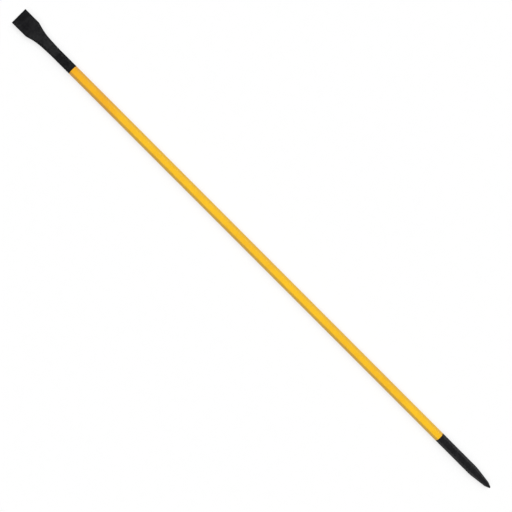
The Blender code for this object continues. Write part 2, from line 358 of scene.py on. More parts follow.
class StudioSettings(PropertyGroup):
    """Floor, lights and surroundings"""

    floor_reach: FloatProperty(
        name="Floor reach", description="From the middle of the floor to its rim", default=60.0,
        unit="LENGTH")
    floor_tone: FloatProperty(
        name="Floor tone", description="Paleness of the floor", default=0.98, min=0, max=1,
        subtype="FACTOR")
    floor_bounce: FloatProperty(
        name="Floor bounce", description="Share of the light that the floor sends back up to the bar",
        default=0.45, min=0, max=1, subtype="FACTOR")
    shadow_share: FloatProperty(
        name="Shadow share", description="Share of the floor's tone that shadows can darken", default=0.30,
        min=0, max=1, subtype="FACTOR")
    right_strength: FloatProperty(
        name="Right light", description="Strength of the light above the picture's right side",
        default=2.08, min=0)
    left_strength: FloatProperty(
        name="Left light", description="Strength of the light above the picture's left side", default=1.13,
        min=0)
    light_tilt: FloatProperty(
        name="Light tilt", description="How far both lights lean from the upright",
        default=math.radians(24), subtype="ANGLE")
    light_spread: FloatProperty(
        name="Light spread", description="Apparent width of each soft light", default=math.radians(50),
        subtype="ANGLE")
    gloss_strength: FloatProperty(
        name="Gloss light", description="Strength of the small low light that shows in the enamel",
        default=0.2, min=0)
    gloss_tilt: FloatProperty(
        name="Gloss light tilt", description="How far the small light leans from the upright",
        default=math.radians(56), subtype="ANGLE")
    gloss_spread: FloatProperty(
        name="Gloss light spread", description="Apparent width of the small light",
        default=math.radians(14), subtype="ANGLE")
    surroundings: FloatProperty(
        name="Surroundings", description="Brightness of the room's own light", default=0.06, min=0)
    ceiling_tone: FloatProperty(
        name="Ceiling tone", description="Brightness that reflections see straight above the bar",
        default=0.06, min=0, max=1, subtype="FACTOR")
    ceiling_angle: FloatProperty(
        name="Ceiling angle", description="Angle from the upright at which the dim ceiling ends",
        default=math.radians(10), subtype="ANGLE")
    wall_angle: FloatProperty(
        name="Wall angle", description="Angle from the upright at which the room is white",
        default=math.radians(28), subtype="ANGLE")


class BarSettings(PropertyGroup):
    """All settings of the demolition bar"""

    stock: PointerProperty(type=StockSettings)
    chisel: PointerProperty(type=ChiselSettings)
    point: PointerProperty(type=PointSettings)
    joint: PointerProperty(type=JointSettings)
    enamel: PointerProperty(type=EnamelSettings)
    studio: PointerProperty(type=StudioSettings)


def smooth_step(share):
    """Rises from 0 to 1 along the cubic 3s^2 - 2s^3, which is level at both ends."""
    return share**2 * (3 - 2 * share)


def softened_min(first, second, softening):
    """The lower of two courses, with the kink where they cross turned into a hyperbola.

    It is their mean less the root of half their difference squared plus the softening squared.
    """
    return (first + second) / 2 - np.sqrt(((first - second) / 2)**2 + softening**2)


def rim_set_back(distance, radius):
    """How far a quarter-round rim has fallen back at a distance from the end: r - sqrt(r^2 - (r - d)^2)."""
    to_rim = np.clip(radius - distance, 0, radius)
    return radius - np.sqrt(radius**2 - to_rim**2)


def evenly(start, end, spacing):
    """Stations from start to end, both included, no further apart than the spacing."""
    count = math.ceil(abs(end - start) / spacing) + 1
    return np.linspace(start, end, count)


def between(start, end, count):
    """Points between two columns of points, closer together towards both.

    They are (1 - cos a) / 2 of the way, where a runs evenly through half a turn.
    """
    share = (1 - np.cos(math.pi * np.arange(1, count + 1) / (count + 1))) / 2
    return start[:, None] + (end - start)[:, None] * share


def six_cornered(half_side, half_height, lean, radius, broad_points):
    """Rounded outlines with two corners at the sides and four beside the level faces, one row a station.

    A point is a complex number, y + iz, from the bar's axis. Each corner is an arc that turns from the
    direction of one face to that of the next: its centre lies inside the corner by radius / cos(half the
    turn), along the middle direction. Each face is a straight run between two arcs. The second array holds,
    for each point, the direction that the outline faces.
    """
    half_flat = half_side - half_height * np.tan(lean)
    up = np.full_like(lean, math.pi / 2)
    left = np.full_like(lean, math.pi)
    corners = [
        (half_side + 0j, -lean, lean, FACE_POINTS),
        (half_flat + 1j * half_height, lean, up, broad_points),
        (-half_flat + 1j * half_height, up, left - lean, FACE_POINTS),
        (-half_side + 0j, left - lean, left + lean, FACE_POINTS),
        (-half_flat - 1j * half_height, left + lean, left + up, broad_points),
        (half_flat - 1j * half_height, left + up, 2 * left - lean, FACE_POINTS),
    ]
    turned = np.linspace(0, 1, CORNER_POINTS)
    arcs = []
    for corner, first, last, _ in corners:
        half_turn = (last - first) / 2
        centre = corner - radius / np.cos(half_turn) * np.exp(1j * (first + half_turn))
        facing = np.exp(1j * (first[:, None] + 2 * half_turn[:, None] * turned))
        arcs.append((centre[:, None] + radius[:, None] * facing, facing))
    points = []
    outward = []
    for index, (arc, facing) in enumerate(arcs):
        next_arc = arcs[(index + 1) % len(arcs)][0]
        face = between(arc[:, -1], next_arc[:, 0], corners[index][3])
        points += [arc, face]
        outward += [facing, np.broadcast_to(facing[:, -1:], face.shape)]
    return np.concatenate(points, axis=1), np.concatenate(outward, axis=1)


def corner_shares(broad_points=FACE_POINTS):
    """For each point of such an outline, 1 on the corner arcs, falling to 0 by the middle of each face.

    On a face it is |cos a| to the power of the fade, where a runs from 0 to half a turn across the face.
    """
    shares = []
    for count in (FACE_POINTS, broad_points, FACE_POINTS) * 2:
        across = np.cos(math.pi * np.arange(1, count + 1) / (count + 1))
        shares += [np.ones(CORNER_POINTS), across**CORNER_FADE]
    return np.concatenate(shares)


def hexagons(across, corner_radius, broad_points=FACE_POINTS):
    """Outlines of a regular hexagonal bar from its sizes across flats, with corner radii in proportion."""
    half_height = across / 2
    lean = np.full_like(across, HEX_LEAN)
    radius = corner_radius * across / ACROSS_FLATS
    return six_cornered(half_height / math.cos(HEX_LEAN), half_height, lean, radius, broad_points)


def places(x, outline):
    """Points in space of outlines that stand at stations x along the bar's axis."""
    along = np.broadcast_to(x[:, None], outline.shape)
    return np.stack([along, outline.real, outline.imag + AXIS_Z], axis=-1)


def hollows(x, outline, wave_length, seed):
    """Soft hollows between 0 and 1 at each point of the outlines.

    They are 0.5 + 0.5 tanh(w), where w is the sum of plane waves sin(k . p + phase) over the root of their
    number. The waves run in all directions, with lengths near the one given.
    """
    draw = np.random.default_rng(seed)
    heading = draw.normal(size=(WAVE_COUNT, 3))
    heading /= np.linalg.norm(heading, axis=1, keepdims=True)
    pace = 2 * math.pi / (wave_length * draw.uniform(SHORTEST_WAVE, LONGEST_WAVE, WAVE_COUNT))
    phase = draw.uniform(0, 2 * math.pi, WAVE_COUNT)
    waves = np.sin(places(x, outline) @ (heading * pace[:, None]).T + phase)
    return 0.5 + 0.5 * np.tanh(waves.sum(axis=-1) / math.sqrt(WAVE_COUNT))


def strip_faces(rows, columns, wraps=False):
    """Corner numbers of the quads between neighbouring rows of points, with their faces outwards.

    Each row is a closed loop. Where the rows wrap, the last one is joined to the first.
    """
    first_row = np.arange(rows if wraps else rows - 1)
    column = np.arange(columns)
    here = first_row[:, None] * columns
    ahead = (first_row[:, None] + 1) % rows * columns
    beside = (column + 1) % columns
    return np.stack([here + column, here + beside, ahead + beside, ahead + column], axis=-1).reshape(-1, 4)


def fill_mesh(mesh, points, quads, triangles=NO_TRIANGLES):
    """Put points, quads and triangles into an empty mesh as whole arrays."""
    corners = np.concatenate([quads.ravel(), triangles.ravel()]).astype(np.int32)
    sizes = np.concatenate([np.full(len(quads), 4), np.full(len(triangles), 3)])
    mesh.vertices.add(len(points))
    mesh.vertices.foreach_set("co", points.astype(np.float32).ravel())
    mesh.loops.add(len(corners))
    mesh.loops.foreach_set("vertex_index", corners)
    mesh.polygons.add(len(sizes))
    mesh.polygons.foreach_set("loop_start", (np.cumsum(sizes) - sizes).astype(np.int32))


def add_piece(name, mesh, materials, inner_faces, corner, nodes):
    """Finish a mesh as a piece: its materials, shading and body, and hide the CAD nodes that it stands for.

    The corner attribute tells the enamels where the corners are.
    """
    mesh.polygons.foreach_set("material_index", inner_faces.astype(np.int32))
    for material in materials:
        mesh.materials.append(material)
    mesh.attributes.new("corner", "FLOAT", "POINT").data.foreach_set("value", corner.astype(np.float32))
    mesh.update(calc_edges=True)
    mesh.validate()
    mesh.shade_smooth()
    mesh.set_sharp_from_angle(angle=SHARP_ANGLE)
    piece = bpy.data.objects.new(name, mesh)
    bpy.context.scene.collection.objects.link(piece)
    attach(piece, "root")
    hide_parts(*nodes)


def add_bar_piece(name, x, outline, corner, inner_rows, materials, nodes):
    """A closed solid through outlines at stations x. A fan to the middle closes each end.

    inner_rows tells which stations are inside a joint, where the faces take the second material.
    """
    rows, columns = outline.shape
    ends = [[x[0], 0, AXIS_Z], [x[-1], 0, AXIS_Z]]
    points = np.concatenate([places(x, outline).reshape(-1, 3), ends])
    middle = np.full(columns, rows * columns)
    column = np.arange(columns)
    beside = (column + 1) % columns
    last = (rows - 1) * columns
    start_fan = np.stack([middle, beside, column], axis=-1)
    end_fan = np.stack([middle + 1, last + column, last + beside], axis=-1)
    mesh = bpy.data.meshes.new(name)
    fill_mesh(mesh, points, strip_faces(rows, columns), np.concatenate([start_fan, end_fan]))
    inner = inner_rows[:-1] & inner_rows[1:]
    inner_faces = np.concatenate([
        np.repeat(inner, columns), np.full(columns, inner_rows[0]), np.full(columns, inner_rows[-1])])
    corner_values = np.concatenate([np.tile(corner, rows) * np.repeat(~inner_rows, columns), [0, 0]])
    add_piece(name, mesh, materials, inner_faces, corner_values, nodes)


def nose_reach(joint):
    """How far a nose stands out of its bar: the groove's depth times the tangent of its angle."""
    return (ACROSS_FLATS - joint.nose_across) / 2 * math.tan(joint.groove_angle)


def nose_and_hole(face_x, inwards, settings, broad_points):
    """Stations and outlines of a joint, from the bar's full section through its nose into the blind hole.

    inwards is +1 or -1, the way along X from the nose's face into its own bar. The nose is a hexagonal
    taper, its face a flat ring, and the hole a cylinder whose points stand at the angles of the hexagon's.
    """
    joint = settings.joint
    across = np.array([ACROSS_FLATS, joint.nose_across])
    taper = hexagons(across, settings.stock.corner_radius, broad_points)[0]
    hole_radius = DOWEL_DIAMETER / 2 + joint.clearance
    hole_depth = DOWEL_LENGTH / 2 + joint.clearance / 2
    hole = taper[-1] / np.abs(taper[-1]) * hole_radius
    x = face_x + inwards * np.array([nose_reach(joint), 0, 0, hole_depth])
    return x, np.concatenate([taper, [hole, hole]])


def shaft_ends(settings):
    """X of the two colour boundaries, where the shaft's full section ends."""
    return EDGE_X + settings.stock.chisel_end, TIP_X - settings.stock.point_end


def seams(settings):
    """X of the nose faces of the chisel head and of the point head, past the shaft's by the clearance."""
    joint = settings.joint
    start, end = shaft_ends(settings)
    return start - nose_reach(joint) - joint.clearance, end + nose_reach(joint) + joint.clearance


def blade_thickness(distance, chisel):
    """Thickness of the chisel head at distances from its cutting edge.

    Along the blade it is the lower of two straight tapers. From the shoulders a parabola, which starts at
    the blade's slope, sweeps up to the bar and meets its flat at an angle. Both kinks are softened.
    """
    bevel_slope = (chisel.bevel_thickness - chisel.edge_thickness) / chisel.bevel_length
    wedge_length = chisel.blade_length - chisel.bevel_length
    slope = (chisel.shoulder_thickness - chisel.bevel_thickness) / wedge_length
    past_shoulder = distance - chisel.blade_length
    wedge = chisel.shoulder_thickness + slope * past_shoulder
    bevel = chisel.edge_thickness + bevel_slope * distance
    sweep = ACROSS_FLATS - chisel.shoulder_thickness - slope * chisel.flare_length
    flare = wedge + sweep * (np.clip(past_shoulder, 0, None) / chisel.flare_length)**2
    thickness = softened_min(flare, ACROSS_FLATS, chisel.softening)
    return softened_min(bevel, thickness, chisel.softening)


def flare_half_width(distance, chisel):
    """Half the width that the flare's outline has at distances from the cutting edge.

    From the shoulders it falls along a steep straight taper, an arc of a parabola, and a gentle straight
    taper that ends at the bar's corners.
    """
    past_shoulder = np.minimum(distance - chisel.blade_length, chisel.flare_length)
    gentle = math.tan(chisel.neck_taper)
    at_bend = HALF_SIDE + gentle * (chisel.flare_length - chisel.bend_distance)
    steep = (BLADE_WIDTH / 2 - at_bend) / chisel.bend_distance
    from_bend = past_shoulder - chisel.bend_distance
    into_bend = np.clip(from_bend + chisel.bend_length / 2, 0, chisel.bend_length)
    past_bend = np.clip(from_bend - chisel.bend_length / 2, 0, None)
    eased = (steep - gentle) * (into_bend**2 / chisel.bend_length / 2 + past_bend)
    return BLADE_WIDTH / 2 - steep * past_shoulder + eased


def blade_half_width(distance, chisel):
    """Half the width of the chisel head at distances from its cutting edge.

    It is that of the parallel blade or of the flare, whichever is less, with the kink at the shoulders
    softened. The two corners at the cutting edge are quarter circles in plan.
    """
    half_width = softened_min(flare_half_width(distance, chisel), BLADE_WIDTH / 2, chisel.softening)
    return half_width - rim_set_back(distance, chisel.corner_radius)


def side_lean(distance, half_height, chisel):
    """Lean of the chisel head's side faces at distances from its cutting edge.

    Along the flare the broad faces narrow by a power of the way left to the bar, from the blade's width to
    that of the bar's flat. The lean's tangent is the side face's reach over half the thickness.
    """
    shoulder_face = BLADE_WIDTH / 2 - chisel.shoulder_thickness / 2 * math.tan(chisel.side_lean)
    share = np.clip((distance - chisel.blade_length) / chisel.flare_length, 0, 1)
    half_face = HALF_FLAT + (shoulder_face - HALF_FLAT) * (1 - share)**chisel.face_narrowing
    lean = np.arctan2(flare_half_width(distance, chisel) - half_face, half_height)
    return np.where(distance < chisel.blade_length, chisel.side_lean, lean)


def forging_depth(distance, settings):
    """Depth of the hollows at distances from the cutting edge: full on the blade, less on the neck."""
    chisel = settings.chisel
    share = np.clip((distance - chisel.blade_length) / chisel.flare_length, 0, 1)
    neck_depth = settings.stock.rolling_depth
    return chisel.forging_depth + (neck_depth - chisel.forging_depth) * smooth_step(share)


def make_chisel_head(settings):
    """The blade, flare and neck as one forging, from the cutting edge to the nose and hole of its joint."""
    chisel = settings.chisel
    nose_x, _ = seams(settings)
    quarter = np.linspace(0, math.pi / 2, ROUNDING_ROWS)
    rim = chisel.corner_radius * (1 - np.cos(quarter))
    shoulder = chisel.blade_length + chisel.flare_length
    blade = evenly(chisel.corner_radius, shoulder, BLADE_SPACING)
    neck = evenly(shoulder, nose_x - nose_reach(settings.joint) - EDGE_X, NECK_SPACING)
    distance = np.concatenate([rim, blade[1:], neck[1:]])
    set_back = rim_set_back(distance, chisel.edge_rounding)
    thickness = blade_thickness(distance, chisel)
    lean = side_lean(distance, thickness / 2, chisel)
    half_height = thickness / 2 - set_back
    half_side = blade_half_width(distance, chisel) - set_back
    radius = np.minimum(settings.stock.corner_radius, LARGEST_ROUNDING * half_height)
    outline, outward = six_cornered(half_side, half_height, lean, radius, BROAD_POINTS)
    x = EDGE_X + distance
    pattern = hollows(x, outline, chisel.forging_length, FORGING_SEED)
    depth = forging_depth(distance, settings)[:, None] * pattern
    depth *= np.clip(distance / chisel.edge_thickness, 0, 1)[:, None]
    outline = outline - depth * outward
    joint_x, joint_outline = nose_and_hole(nose_x, -1, settings, BROAD_POINTS)
    inner = np.repeat([False, True], [len(x), len(joint_x)])
    add_bar_piece(
        "forged_chisel", np.concatenate([x, joint_x]), np.concatenate([outline, joint_outline]),
        corner_shares(BROAD_POINTS), inner, finishes(painted_shade_chisel, settings),
        ["chisel_head"])


def make_shaft(settings):
    """The hexagonal bar stock between the colour boundaries, with a nose and a blind hole at each end."""
    stock = settings.stock
    start, end = shaft_ends(settings)
    nose_length = nose_reach(settings.joint)
    x = evenly(start, end, SHAFT_SPACING)
    across = np.full_like(x, ACROSS_FLATS - 2 * stock.film_step)
    outline, outward = hexagons(across, stock.corner_radius)
    depth = stock.rolling_depth * hollows(x, outline, stock.rolling_length, ROLLING_SEED)
    outline = outline - depth * outward
    start_x, start_outline = nose_and_hole(start - nose_length, 1, settings, FACE_POINTS)
    end_x, end_outline = nose_and_hole(end + nose_length, -1, settings, FACE_POINTS)
    x = np.concatenate([start_x[::-1], x, end_x])
    outline = np.concatenate([start_outline[::-1], outline, end_outline])
    outside = len(x) - len(start_x) - len(end_x)
    inner = np.repeat([True, False, True], [len(start_x), outside, len(end_x)])
    add_bar_piece(
        "yellow_shaft", x, outline, corner_shares(), inner, finishes(painted_yellow, settings),
        ["shaft"])


def point_across(to_tip, point):
    """Size across flats at distances from the tip.

    It is the bar's up to the taper, which an arc of a parabola leads into. The taper runs straight to the
    bevel, and the bevel straight to the blunt tip, with the kink between the two softened.
    """
    slope = (ACROSS_FLATS - point.bevel_across) / (point.taper_length - point.bevel_length)
    into_ease = np.clip(point.taper_length + point.ease_length / 2 - to_tip, 0, point.ease_length)
    past_ease = np.clip(point.taper_length - point.ease_length / 2 - to_tip, 0, None)
    taper = ACROSS_FLATS - slope * (into_ease**2 / point.ease_length / 2 + past_ease)
    bevel_slope = (point.bevel_across - point.end_across) / point.bevel_length
    bevel = point.end_across + bevel_slope * to_tip
    return np.where(to_tip > point.taper_length / 2, taper, softened_min(taper, bevel, point.softening))


def make_point_head(settings):
    """The neck and the six-sided point, from the blind hole and nose of its joint to the rounded tip."""
    point = settings.point
    _, nose_x = seams(settings)
    quarter = np.linspace(math.pi / 2, 0, ROUNDING_ROWS)
    rim = point.tip_rounding * (1 - np.cos(quarter))
    ease_start = point.taper_length + point.ease_length / 2
    neck = evenly(TIP_X - nose_x - nose_reach(settings.joint), ease_start, NECK_SPACING)
    taper = evenly(ease_start, point.tip_rounding, BLADE_SPACING)
    to_tip = np.concatenate([neck, taper[1:], rim[1:]])
    across = point_across(to_tip, point) - 2 * rim_set_back(to_tip, point.tip_rounding)
    outline, outward = hexagons(across, settings.stock.corner_radius, BROAD_POINTS)
    x = TIP_X - to_tip
    depth = settings.stock.rolling_depth * hollows(x, outline, settings.chisel.forging_length, FORGING_SEED)
    depth *= np.clip(across / ACROSS_FLATS, 0, 1)[:, None]
    outline = outline - depth * outward
    joint_x, joint_outline = nose_and_hole(nose_x, 1, settings, BROAD_POINTS)
    x = np.concatenate([joint_x[::-1], x])
    outline = np.concatenate([joint_outline[::-1], outline])
    inner = np.repeat([True, False], [len(joint_x), len(to_tip)])
    add_bar_piece(
        "pencil_point", x, outline, corner_shares(BROAD_POINTS), inner,
        finishes(painted_point, settings), ["point_head"])


def make_weld(name, node, head_x, shaft_x, maker, settings):
    """Weld metal between a head and the shaft: a closed ring, flush with the flats and V-shaped inside.

    It lies between head_x and shaft_x, where their full sections end. Its own section runs along the bar
    from the -X seam to the +X seam and back by way of the waist of the V.
    """
    stock = settings.stock
    joint = settings.joint
    start, end = sorted((head_x, shaft_x))
    outside_x = np.linspace(start, end, WELD_ROWS)
    outline, outward = hexagons(np.full(WELD_ROWS, ACROSS_FLATS), stock.corner_radius, BROAD_POINTS)
    depth = stock.rolling_depth * hollows(outside_x, outline, settings.chisel.forging_length, FORGING_SEED)
    outline = outline - depth * outward
    waist = np.array([joint.nose_across + 2 * joint.clearance])
    waist_outline = hexagons(waist, stock.corner_radius, BROAD_POINTS)[0]
    x = np.append(outside_x, (start + end) / 2)
    outline = np.concatenate([outline, waist_outline])
    rows, columns = outline.shape
    mesh = bpy.data.meshes.new(name)
    fill_mesh(mesh, places(x, outline).reshape(-1, 3), strip_faces(rows, columns, wraps=True))
    inner_faces = np.repeat(np.arange(rows) >= WELD_ROWS - 1, columns)
    corner = np.tile(corner_shares(BROAD_POINTS), rows)
    add_piece(name, mesh, finishes(maker, settings), inner_faces, corner, [node])


def add_node(tree, kind, inputs=None, **settings):
    """Add a node with its own settings. Inputs given as sockets are linked, and the others are set."""
    node = tree.nodes.new(kind)
    for name, value in settings.items():
        setattr(node, name, value)
    for name, value in (inputs or {}).items():
        if isinstance(value, bpy.types.NodeSocket):
            tree.links.new(value, node.inputs[name])
        else:
            node.inputs[name].default_value = value
    return node


def new_material(name):
    """An empty node material, its tree, its output node and the object coordinates to draw on."""
    material = bpy.data.materials.new(name)
    material.use_nodes = True
    tree = material.node_tree
    tree.nodes.clear()
    output = tree.nodes.new("ShaderNodeOutputMaterial")
    place = tree.nodes.new("ShaderNodeTexCoord").outputs["Object"]
    return material, tree, output, place


def noise(tree, place, features, detail):
    """Soft noise with so many features to the metre."""
    inputs = {"Vector": place, "Scale": features, "Detail": detail}
    return add_node(tree, "ShaderNodeTexNoise", inputs).outputs["Fac"]


def ranged(tree, value, span, to_span):
    """A value taken from one span to another, each a pair of ends, and held at the ends."""
    low, high = span
    to_low, to_high = to_span
    inputs = {"Value": value, "From Min": low, "From Max": high, "To Min": to_low, "To Max": to_high}
    return add_node(tree, "ShaderNodeMapRange", inputs).outputs["Result"]


def spread(tree, value, to_span):
    """A noise taken from where nearly all its values lie to another span."""
    return ranged(tree, value, NOISE_SPAN, to_span)


def ramp(tree, value, stops):
    """A colour ramp from stops of (position, colour)."""
    node = add_node(tree, "ShaderNodeValToRGB", {"Fac": value})
    elements = node.color_ramp.elements
    while len(elements) < len(stops):
        elements.new(0.5)
    for element, (position, colour) in zip(elements, stops):
        element.position = position
        element.color = (*colour, 1.0)
    return node.outputs["Color"]


def maths(tree, operation, first, second):
    """One operation on two values."""
    return add_node(tree, "ShaderNodeMath", {0: first, 1: second}, operation=operation).outputs["Value"]


def product(tree, first, second):
    """Two values multiplied."""
    return maths(tree, "MULTIPLY", first, second)


def total(tree, first, *others):
    """Two or more values added up."""
    for other in others:
        first = maths(tree, "ADD", first, other)
    return first


def relief(tree, *layers):
    """Layers of relief laid over one another, each a height from 0 to 1 and its depth in metres."""
    normal = None
    for height, depth in layers:
        inputs = {"Height": height, "Distance": depth, "Strength": 1.0}
        if normal is not None:
            inputs["Normal"] = normal
        normal = add_node(tree, "ShaderNodeBump", inputs).outputs["Normal"]
    return normal


def toned(colour, factor):
    """A colour made lighter or darker by a factor."""
    return tuple(min(1.0, channel * factor) for channel in colour)


def along_bar(tree, place):
    """X, the way along the bar."""
    return add_node(tree, "ShaderNodeSeparateXYZ", {"Vector": place}).outputs["X"]


def drawn_out(tree, place, shares):
    """The place squeezed to a share along each axis, which draws a pattern on it out."""
    return add_node(tree, "ShaderNodeMapping", {"Vector": place, "Scale": shares}).outputs["Vector"]


def on_corners(tree):
    """The corner attribute of the piece."""
    return add_node(tree, "ShaderNodeAttribute", attribute_name="corner").outputs["Fac"]


def pitted(tree, place, cells, reach):
    """1 at the middle of scattered cells, so many to the metre, falling to 0 at a share of a cell."""
    inputs = {"Vector": place, "Scale": cells, "Randomness": 1.0}
    distance = add_node(tree, "ShaderNodeTexVoronoi", inputs, feature="F1").outputs["Distance"]
    return ranged(tree, distance, (0.0, reach), (1.0, 0.0))


def swept_share(tree, place, settings):
    """Share of the painted sheen on the flare, which stands in for light that its sloping face would catch.

    It rises from 0 at the cutting edge to 1 at the flare's end, and falls back to 0 shortly past it.
    """
    chisel = settings.chisel
    flare_end = EDGE_X + chisel.blade_length + chisel.flare_length
    along = along_bar(tree, place)
    rise = ranged(tree, along, (EDGE_X, flare_end), (0.0, 1.0))
    fall = ranged(tree, along, (flare_end, flare_end + ACROSS_FLATS / 2), (1.0, 0.0))
    return product(tree, rise, fall)


def cover(tree, output, colour, sheen, normal, gloss=0.5, metal=0.0):
    """Make a Principled shader the material's surface. The gloss is its specular level."""
    shader = add_node(tree, "ShaderNodeBsdfPrincipled", {
        "Base Color": colour, "Roughness": sheen, "Normal": normal, "Specular IOR Level": gloss,
        "Metallic": metal})
    tree.links.new(shader.outputs["BSDF"], output.inputs["Surface"])


def black_enamel(settings, name, gloss):
    """Black enamel on forged steel: cloudy, over pitted scale, with a fine peel.

    Its tone is a sum of shares of the way to that of thin enamel, larger on rubbed corners, and larger on
    the flare as a painted sheen, lighter as if its sloping face caught more light.
    """
    enamel = settings.enamel
    material, tree, output, place = new_material(name)
    clouds = noise(tree, place, BLACK_CLOUDS, detail=4.0)
    scale = noise(tree, place, BLACK_SCALE, detail=6.0)
    peel = noise(tree, place, BLACK_PEEL, detail=1.0)
    scaly = ranged(tree, clouds, PIT_SPAN, (0.0, 1.0))
    pits = product(tree, pitted(tree, place, BLACK_PITS, PIT_REACH), scaly)
    cloudy = ranged(tree, clouds, TONE_SPAN, BLACK_CLOUD_TONE)
    flecked = spread(tree, scale, FLECK_TONE)
    rubbed = product(tree, on_corners(tree), ranged(tree, scale, RUBBED_SPAN, (0.0, CORNER_THINNING)))
    # Painted sheen: the flare is made lighter, as if its sloping face caught more light
    painted_flare_sheen = product(tree, swept_share(tree, place, settings), FLARE_PAINTED_SHEEN)
    tone = total(tree, cloudy, flecked, rubbed, painted_flare_sheen)
    thickest = toned(enamel.black, THICK_BLACK)
    stops = [(0.0, thickest), (USUAL_BLACK, enamel.black), (1.0, enamel.black_worn)]
    sheen = ranged(tree, clouds, SHEEN_SPAN, BLACK_SHEEN)
    sheen = total(tree, sheen, spread(tree, scale, FLECK_SHEEN), product(tree, pits, PIT_SHEEN))
    normal = relief(
        tree, (clouds, CLOUD_DEPTH), (scale, SCALE_DEPTH), (pits, -PIT_DEPTH), (peel, BLACK_PEEL_DEPTH))
    cover(tree, output, ramp(tree, tone, stops), sheen, normal, gloss)
    return material


def painted_shade_chisel(settings):
    """The black enamel of the chisel end as painted shade: its gloss is set below the point end's copy, so
    it reflects less of the white room.
    """
    return black_enamel(settings, "painted_shade_chisel", settings.enamel.chisel_gloss)


def painted_point(settings):
    """The satin black enamel of the point end."""
    return black_enamel(settings, "painted_point", settings.enamel.point_gloss)


def painted_yellow(settings):
    """Yellow enamel on rolled bar: soft clouds, rolling lines, a fine peel and a few nibs.

    Its tone is a sum of shares of the way from the deep yellow, past the usual one, to that of thin enamel.
    """
    enamel = settings.enamel
    material, tree, output, place = new_material("painted_yellow")
    clouds = noise(tree, place, YELLOW_CLOUDS, detail=4.0)
    lines = noise(tree, drawn_out(tree, place, ROLLING_SQUEEZE), ROLLING_LINES, detail=3.0)
    peel = noise(tree, place, YELLOW_PEEL, detail=2.0)
    nibs = pitted(tree, place, YELLOW_NIBS, NIB_REACH)
    start, _ = shaft_ends(settings)
    end = start + enamel.deep_length
    thinner = ranged(tree, along_bar(tree, place), (start, end), (0.0, SHAFT_THINNING))
    cloudy = spread(tree, clouds, YELLOW_CLOUD_TONE)
    peeled = spread(tree, peel, PEEL_TONE)
    tone = total(tree, thinner, cloudy, peeled, product(tree, on_corners(tree), YELLOW_CORNER_TONE))
    thinnest = toned(enamel.yellow, THIN_YELLOW)
    stops = [(0.0, enamel.yellow_deep), (USUAL_YELLOW, enamel.yellow), (1.0, thinnest)]
    sheen = total(tree, spread(tree, clouds, YELLOW_SHEEN), spread(tree, peel, PEEL_SHEEN))
    normal = relief(tree, (lines, ROLLING_LINE_DEPTH), (peel, YELLOW_PEEL_DEPTH), (nibs, NIB_HEIGHT))
    cover(tree, output, ramp(tree, tone, stops), sheen, normal, enamel.yellow_gloss)
    return material


def ground_steel(settings):
    """Bare ground steel: fine grinding lines round the bar's axis, with light and dark patches."""
    steel = settings.enamel.steel
    material, tree, output, place = new_material("ground_steel")
    lines = noise(tree, drawn_out(tree, place, GRINDING_SQUEEZE), GRINDING_LINES, detail=3.0)
    patches = noise(tree, place, STEEL_PATCHES, detail=2.0)
    tone = total(tree, spread(tree, patches, PATCH_TONE), spread(tree, lines, GRINDING_TONE))
    colour = ramp(tree, tone, [(0.0, toned(steel, DARK_STEEL)), (1.0, toned(steel, LIGHT_STEEL))])
    sheen = total(tree, spread(tree, patches, STEEL_SHEEN), spread(tree, lines, GRINDING_SHEEN))
    cover(tree, output, colour, sheen, relief(tree, (lines, GRINDING_DEPTH)), metal=1.0)
    return material


def finishes(maker, settings):
    """A piece's finish outside and inside its joints, each made the first time that it is asked for."""
    return [bpy.data.materials.get(each.__name__) or each(settings) for each in (maker, ground_steel)]


def seen_directly(tree):
    """1 for rays from the camera, in a reflection or through glass, and 0 for rays that carry light."""
    path = tree.nodes.new("ShaderNodeLightPath")
    seen = maths(tree, "MAXIMUM", path.outputs["Is Camera Ray"], path.outputs["Is Glossy Ray"])
    return maths(tree, "MAXIMUM", seen, path.outputs["Is Transmission Ray"])


def mixed(tree, share, first, second):
    """Two shaders mixed by a share."""
    mix = tree.nodes.new("ShaderNodeMixShader")
    tree.links.new(share, mix.inputs[0])
    tree.links.new(first.outputs[0], mix.inputs[1])
    tree.links.new(second.outputs[0], mix.inputs[2])
    return mix.outputs["Shader"]


def pale_floor(studio):
    """Matt near-white paper, seen as white apart from the share of its tone that shadows darken."""
    material, tree, output, place = new_material("pale_floor")
    seen = seen_directly(tree)
    grain = spread(tree, noise(tree, place, PAPER_GRAIN, detail=3.0), PAPER_TONE)
    tone = product(tree, grain, ranged(tree, seen, (0.0, 1.0), (studio.floor_bounce, studio.floor_tone)))
    paper = ramp(tree, tone, [(0.0, (0.0, 0.0, 0.0)), (1.0, (1.0, 1.0, 1.0))])
    matt = add_node(tree, "ShaderNodeBsdfDiffuse", {"Color": paper})
    glow = add_node(tree, "ShaderNodeEmission", {"Color": WHITE, "Strength": 1.0})
    share = product(tree, seen, 1 - studio.shadow_share)
    tree.links.new(mixed(tree, share, matt, glow), output.inputs["Surface"])
    material.cycles.emission_sampling = "NONE"
    return material


def make_floor(studio):
    """A level square sheet under the bar, its points a grid of two parameters."""
    reach = np.linspace(-studio.floor_reach, studio.floor_reach, FLOOR_POINTS)
    x, y = np.meshgrid(reach, reach, indexing="ij")
    points = np.stack([x, y, np.full_like(x, CAD_LOW.z - FLOOR_GAP)], axis=-1).reshape(-1, 3)
    cell = np.arange(FLOOR_POINTS - 1)
    corner = (cell[:, None] * FLOOR_POINTS + cell).ravel()
    quads = np.stack([corner, corner + FLOOR_POINTS, corner + FLOOR_POINTS + 1, corner + 1], axis=-1)
    mesh = bpy.data.meshes.new("studio_floor")
    fill_mesh(mesh, points, quads)
    mesh.update(calc_edges=True)
    mesh.materials.append(pale_floor(studio))
    floor = bpy.data.objects.new("studio_floor", mesh)
    bpy.context.scene.collection.objects.link(floor)


